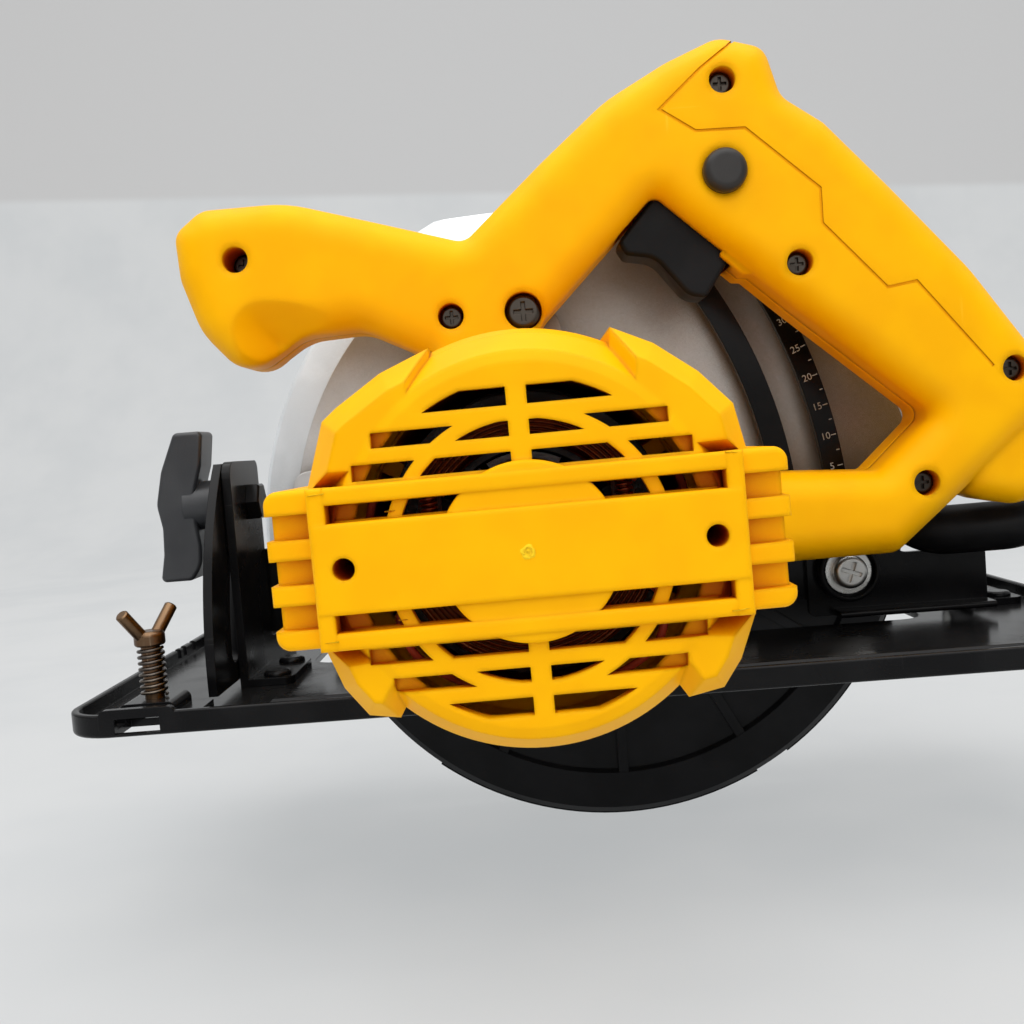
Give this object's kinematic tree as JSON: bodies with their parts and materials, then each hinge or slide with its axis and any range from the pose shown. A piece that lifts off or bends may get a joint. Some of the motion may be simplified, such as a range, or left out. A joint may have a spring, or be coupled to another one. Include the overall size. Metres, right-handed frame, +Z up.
{
  "type": "circular saw",
  "caption": "Corded handheld circular saw with a side motor, D handle and front grip, tilting base, depth guide and a swinging lower blade guard.",
  "frame": {"origin": "on the sole of the base, under the blade's axis and in the handle's mid plane", "axes": "+X to the rear of the saw, -X the cutting direction, -Y to the motor's end cap, +Y to the blade side, +Z up"},
  "size_m": [0.3114, 0.195, 0.2325],
  "materials": {
    "black_steel": "glossy black enamel",
    "zinc_steel": "zinc plated",
    "bronze": "dull brown bronze",
    "spring_steel": "plain spring wire",
    "black_plastic": "satin black",
    "cast_aluminium": "cast, satin",
    "yellow_plastic": "satin golden yellow",
    "dark_screw": "blackened steel",
    "lamination": "stacked sheet steel",
    "copper_wire": "varnished copper",
    "brown_plastic": "phenolic",
    "carbon": "carbon",
    "bearing_steel": "ground steel",
    "grey_plastic": "dark grey",
    "blade_steel": "ground blade steel"
  },
  "bodies": {
    "base": {"base_plate": "black_steel", "bevel_bracket": "black_steel", "rear_ear": "black_steel", "base_rivets": "black_steel", "fence_strap": "black_steel", "fence_spring": "spring_steel", "bevel_bolt": "black_steel", "bevel_pins": "zinc_steel"},
    "fence_wing": {"fence_screw": "bronze"},
    "knob": {"bevel_knob": "black_plastic"},
    "tilt_frame": {"tilt_quadrant": "black_steel", "depth_pin": "black_steel", "depth_guide": "black_steel", "rear_bracket": "black_steel", "guide_cup": "black_plastic", "guide_screw": "zinc_steel", "guide_nut": "zinc_steel"},
    "saw_body": {"gear_case": "cast_aluminium", "gear_case_screws": "zinc_steel", "upper_guard": "cast_aluminium", "dust_chute": "black_plastic", "motor_housing": "yellow_plastic", "end_cap": "yellow_plastic", "cap_screws": "dark_screw", "stator": "lamination", "field_coils": "copper_wire", "brush_holders": "brown_plastic", "brushes": "carbon", "brush_springs": "spring_steel", "bearing_cap": "bearing_steel", "bearing_motor": "bearing_steel", "bearing_tail": "bearing_steel", "bearing_nose": "bearing_steel", "handle_shell_near": "yellow_plastic", "handle_shell_far": "yellow_plastic", "handle_screws": "dark_screw", "switch_body": "black_plastic", "cord_gland": "black_plastic", "depth_bolt": "zinc_steel", "guard_spring": "spring_steel"},
    "clamp_lever": {"depth_lever": "black_steel"},
    "trigger_body": {"trigger": "black_plastic"},
    "lock": {"lock_button": "grey_plastic"},
    "armature": {"armature_shaft": "bearing_steel", "armature_core": "lamination", "armature_windings": "copper_wire", "commutator": "copper_wire", "fan": "grey_plastic"},
    "spindle_group": {"spindle": "zinc_steel", "drive_gear": "bearing_steel", "inner_flange": "zinc_steel", "outer_flange": "zinc_steel", "blade_bolt": "zinc_steel", "blade": "blade_steel"},
    "guard_group": {"lower_guard": "black_plastic", "guard_lever": "black_plastic"}
  },
  "joints": [
    {"name": "bevel_tilt", "type": "hinge", "parent": "base", "child": "tilt_frame", "pos_m": [0, 0.05, 0.009], "axis": [-1, 0, 0], "range_deg": [0, 45]},
    {"name": "depth_set", "type": "hinge", "parent": "tilt_frame", "child": "saw_body", "pos_m": [-0.095, 0, 0.03], "axis": [0, -1, 0], "range_deg": [0, 34]},
    {"name": "bevel_knob_turn", "type": "hinge", "parent": "base", "child": "knob", "pos_m": [-0.128, 0.012, 0.055], "axis": [-1, 0, 0], "range_deg": [0, 360]},
    {"name": "fence_screw_turn", "type": "hinge", "parent": "base", "child": "fence_wing", "pos_m": [-0.12725, -0.035, 0.021], "axis": [0, 0, 1], "range_deg": [0, 360]},
    {"name": "depth_lever_turn", "type": "hinge", "parent": "saw_body", "child": "clamp_lever", "pos_m": [0.06538, 0.021, 0.03841], "axis": [0, -1, 0], "range_deg": [0, 30]},
    {"name": "trigger_pull", "type": "hinge", "parent": "saw_body", "child": "trigger_body", "pos_m": [0.038, 0, 0.1192], "axis": [0, 1, 0], "range_deg": [0, 7], "stiffness_Nm_per_rad": 0.3, "springref_deg": -11.46},
    {"name": "lock_press", "type": "slide", "parent": "saw_body", "child": "lock", "axis": [0, 1, 0], "range_m": [0, 0.0025], "stiffness_N_per_m": 150, "springref_m": -0.004},
    {"name": "spindle_spin", "type": "hinge", "parent": "saw_body", "child": "spindle_group", "pos_m": [0, 0.05, 0.039], "axis": [0, 1, 0], "continuous": true},
    {"name": "armature_spin", "type": "hinge", "parent": "saw_body", "child": "armature", "pos_m": [-0.025, -0.03, 0.044], "axis": [0, 1, 0], "continuous": true},
    {"name": "lower_guard_swing", "type": "hinge", "parent": "saw_body", "child": "guard_group", "pos_m": [0, 0.05, 0.039], "axis": [0, -1, 0], "range_deg": [0, 100], "stiffness_Nm_per_rad": 0.1, "springref_deg": -103.13}
  ],
  "couplings": [
    {"joint": "armature_spin", "follows": "spindle_spin", "ratio": -4.2222}
  ]
}
